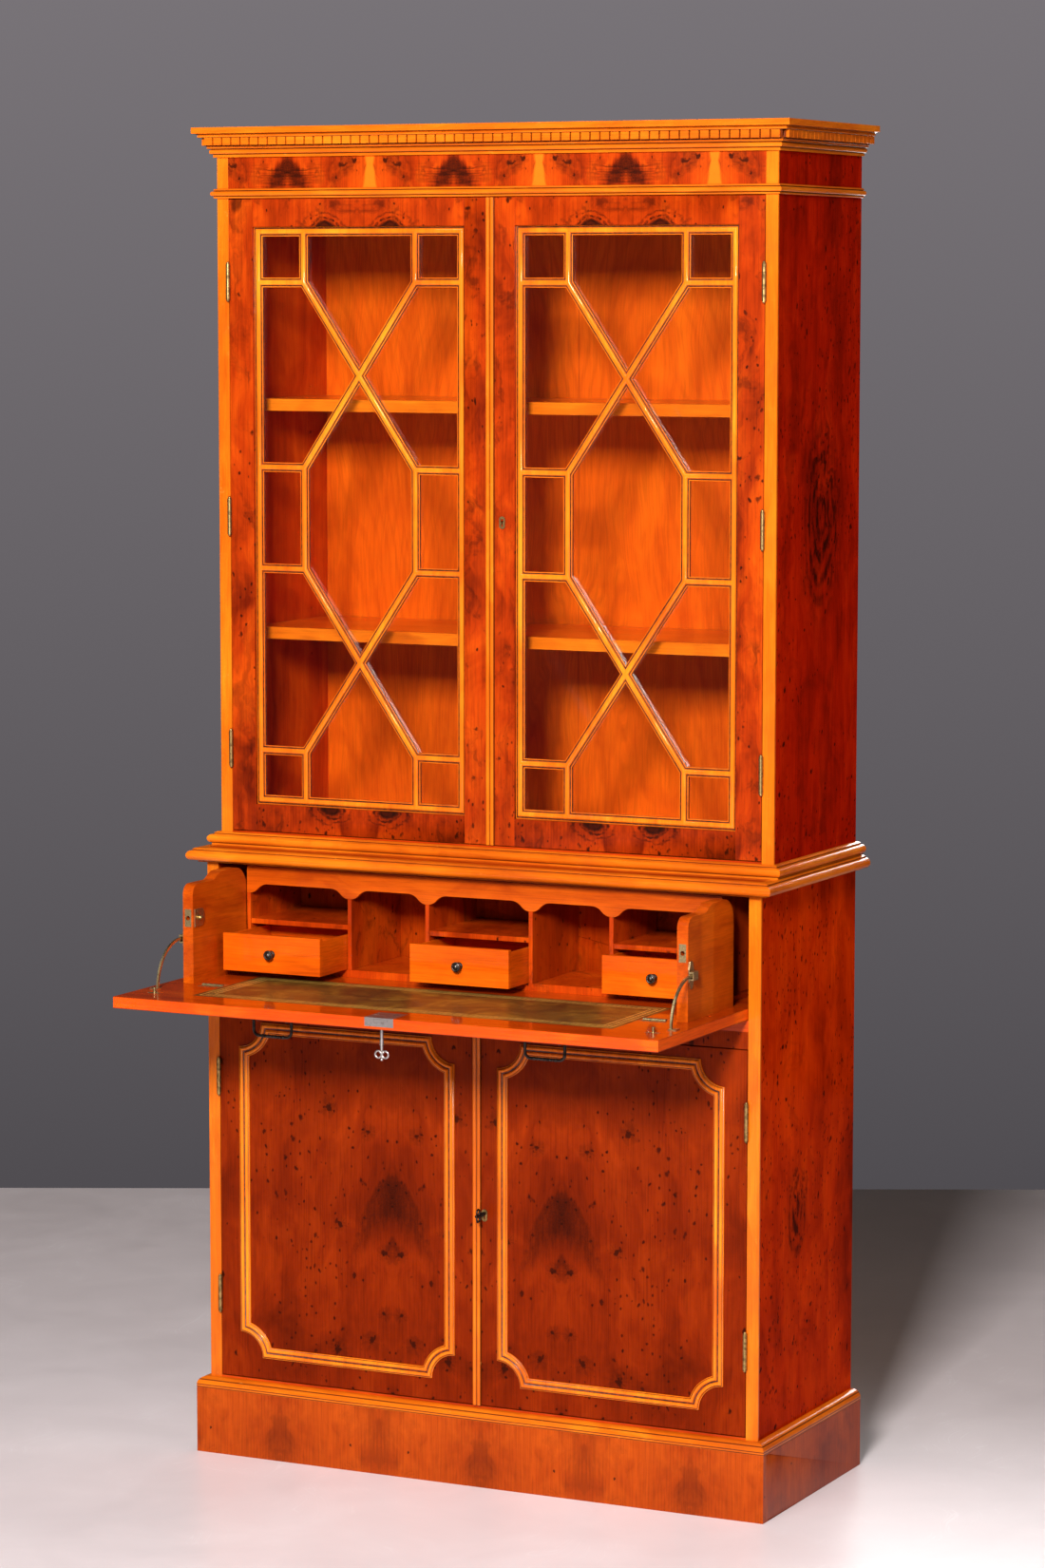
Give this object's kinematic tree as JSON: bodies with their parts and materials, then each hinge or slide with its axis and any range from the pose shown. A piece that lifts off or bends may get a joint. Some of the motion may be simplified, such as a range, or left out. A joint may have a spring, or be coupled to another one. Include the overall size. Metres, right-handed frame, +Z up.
{
  "type": "secretary desk",
  "caption": "Tall bookcase with glazed doors over a pull-out writing drawer with a fall front and pigeonholes, above a cupboard with panelled doors",
  "frame": {"origin": "middle of the plinth's footprint, on the floor", "axes": "X to the right seen from the front, Y to the back, Z up"},
  "size_m": [0.964, 0.66, 2],
  "materials": {
    "veneer_dark": "gloss lacquer over figured veneer",
    "moulding_light": "gloss lacquer",
    "interior_wood": "gloss lacquer",
    "glass": "clear",
    "leather": "waxed",
    "brass": "polished",
    "steel": "polished",
    "dark_metal": "blackened"
  },
  "bodies": {
    "case": {"plinth": "veneer_dark", "plinth_cap": "moulding_light", "lower_sides": "veneer_dark", "upper_sides": "veneer_dark", "front_lippings": "moulding_light", "case_boards": "interior_wood", "back_panels": "interior_wood", "drawer_rail": "moulding_light", "door_head_rail": "veneer_dark", "waist_moulding": "moulding_light", "frieze": "veneer_dark", "frieze_moulding": "moulding_light", "cornice": "moulding_light", "dentils": "moulding_light", "bookcase_shelves": "interior_wood", "shelf_pins": "brass", "case_hinges": "brass"},
    "glazed_left_door": {"glazed_left_frame": "veneer_dark", "glazed_left_bars": "moulding_light", "glazed_left_glass": "glass", "glazed_left_fittings": "brass"},
    "glazed_right_door": {"glazed_right_frame": "veneer_dark", "glazed_right_bars": "moulding_light", "glazed_right_glass": "glass", "glazed_right_fittings": "brass", "glazed_cover_bead": "moulding_light"},
    "glazed_lock_bolt": {"glazed_bolt": "steel"},
    "cupboard_left_door": {"cupboard_left_panel": "veneer_dark", "cupboard_left_moulding": "moulding_light", "cupboard_left_fittings": "brass"},
    "cupboard_right_door": {"cupboard_right_panel": "veneer_dark", "cupboard_right_moulding": "moulding_light", "cupboard_right_fittings": "brass", "cupboard_cover_bead": "moulding_light"},
    "cupboard_lock_bolt": {"cupboard_bolt": "steel"},
    "cupboard_lock_key": {"cupboard_key": "steel"},
    "secretaire_drawer": {"drawer_base": "interior_wood", "base_leather": "leather", "drawer_sides": "interior_wood", "gallery": "interior_wood", "valance": "interior_wood", "drawer_fittings": "brass"},
    "left_button": {"catch_button_left": "brass"},
    "right_button": {"catch_button_right": "brass"},
    "left_small_drawer": {"small_drawer_left": "interior_wood", "knob_left": "dark_metal"},
    "middle_small_drawer": {"small_drawer_middle": "interior_wood", "knob_middle": "dark_metal"},
    "right_small_drawer": {"small_drawer_right": "interior_wood", "knob_right": "dark_metal"},
    "fall": {"fall_panel": "veneer_dark", "fall_leather": "leather", "fall_fittings": "brass", "fall_lock": "brass", "handle_posts": "dark_metal"},
    "fall_lock_bolt": {"fall_bolt": "steel"},
    "fall_lock_key": {"fall_key": "steel"},
    "left_bail": {"bail_left": "dark_metal"},
    "right_bail": {"bail_right": "dark_metal"}
  },
  "joints": [
    {"name": "glazed_left_swing", "type": "hinge", "parent": "case", "child": "glazed_left_door", "pos_m": [-0.4345, -0.1285, 1.423], "axis": [0, 0, -1], "range_deg": [0, 110]},
    {"name": "glazed_right_swing", "type": "hinge", "parent": "case", "child": "glazed_right_door", "pos_m": [0.4345, -0.1285, 1.423], "axis": [0, 0, 1], "range_deg": [0, 110]},
    {"name": "glazed_bolt_throw", "type": "slide", "parent": "glazed_right_door", "child": "glazed_lock_bolt", "axis": [-1, 0, 0], "range_m": [0, 0.008]},
    {"name": "cupboard_left_swing", "type": "hinge", "parent": "case", "child": "cupboard_left_door", "pos_m": [-0.4345, -0.1725, 0.4], "axis": [0, 0, -1], "range_deg": [0, 110]},
    {"name": "cupboard_right_swing", "type": "hinge", "parent": "case", "child": "cupboard_right_door", "pos_m": [0.4345, -0.1725, 0.4], "axis": [0, 0, 1], "range_deg": [0, 110]},
    {"name": "cupboard_key_turn", "type": "hinge", "parent": "cupboard_right_door", "child": "cupboard_lock_key", "pos_m": [0.014, -0.169, 0.41], "axis": [0, -1, 0], "range_deg": [0, 90]},
    {"name": "cupboard_bolt_throw", "type": "slide", "parent": "cupboard_right_door", "child": "cupboard_lock_bolt", "axis": [-1, 0, 0], "range_m": [0, 0.008]},
    {"name": "secretaire_slide", "type": "slide", "parent": "case", "child": "secretaire_drawer", "axis": [0, 1, 0], "range_m": [0, 0.167]},
    {"name": "left_button_press", "type": "slide", "parent": "secretaire_drawer", "child": "left_button", "axis": [-1, 0, 0], "range_m": [0, 0.003], "stiffness_N_per_m": 300},
    {"name": "right_button_press", "type": "slide", "parent": "secretaire_drawer", "child": "right_button", "axis": [1, 0, 0], "range_m": [0, 0.003], "stiffness_N_per_m": 300},
    {"name": "left_small_drawer_slide", "type": "slide", "parent": "secretaire_drawer", "child": "left_small_drawer", "axis": [0, 1, 0], "range_m": [-0.036, 0.084]},
    {"name": "middle_small_drawer_slide", "type": "slide", "parent": "secretaire_drawer", "child": "middle_small_drawer", "axis": [0, 1, 0], "range_m": [-0.057, 0.063]},
    {"name": "right_small_drawer_slide", "type": "slide", "parent": "secretaire_drawer", "child": "right_small_drawer", "axis": [0, 1, 0], "range_m": [-0.08, 0.04]},
    {"name": "fall_swing", "type": "hinge", "parent": "secretaire_drawer", "child": "fall", "pos_m": [0, -0.31925, 0.745], "axis": [-1, 0, 0], "range_deg": [0, 90]},
    {"name": "fall_key_turn", "type": "hinge", "parent": "fall", "child": "fall_lock_key", "pos_m": [-0.004, -0.455, 0.73], "axis": [0, 0, 1], "range_deg": [0, 90]},
    {"name": "fall_bolt_throw", "type": "slide", "parent": "fall", "child": "fall_lock_bolt", "axis": [0, -1, 0], "range_m": [0, 0.008]},
    {"name": "left_bail_swing", "type": "hinge", "parent": "fall", "child": "left_bail", "pos_m": [-0.219, -0.387, 0.714], "axis": [1, 0, 0], "range_deg": [-80, 80]},
    {"name": "right_bail_swing", "type": "hinge", "parent": "fall", "child": "right_bail", "pos_m": [0.219, -0.387, 0.714], "axis": [1, 0, 0], "range_deg": [-80, 80]}
  ],
  "couplings": [
    {"joint": "cupboard_bolt_throw", "follows": "cupboard_key_turn", "m_per_rad": 0.005093},
    {"joint": "fall_bolt_throw", "follows": "fall_key_turn", "m_per_rad": 0.005093}
  ]
}
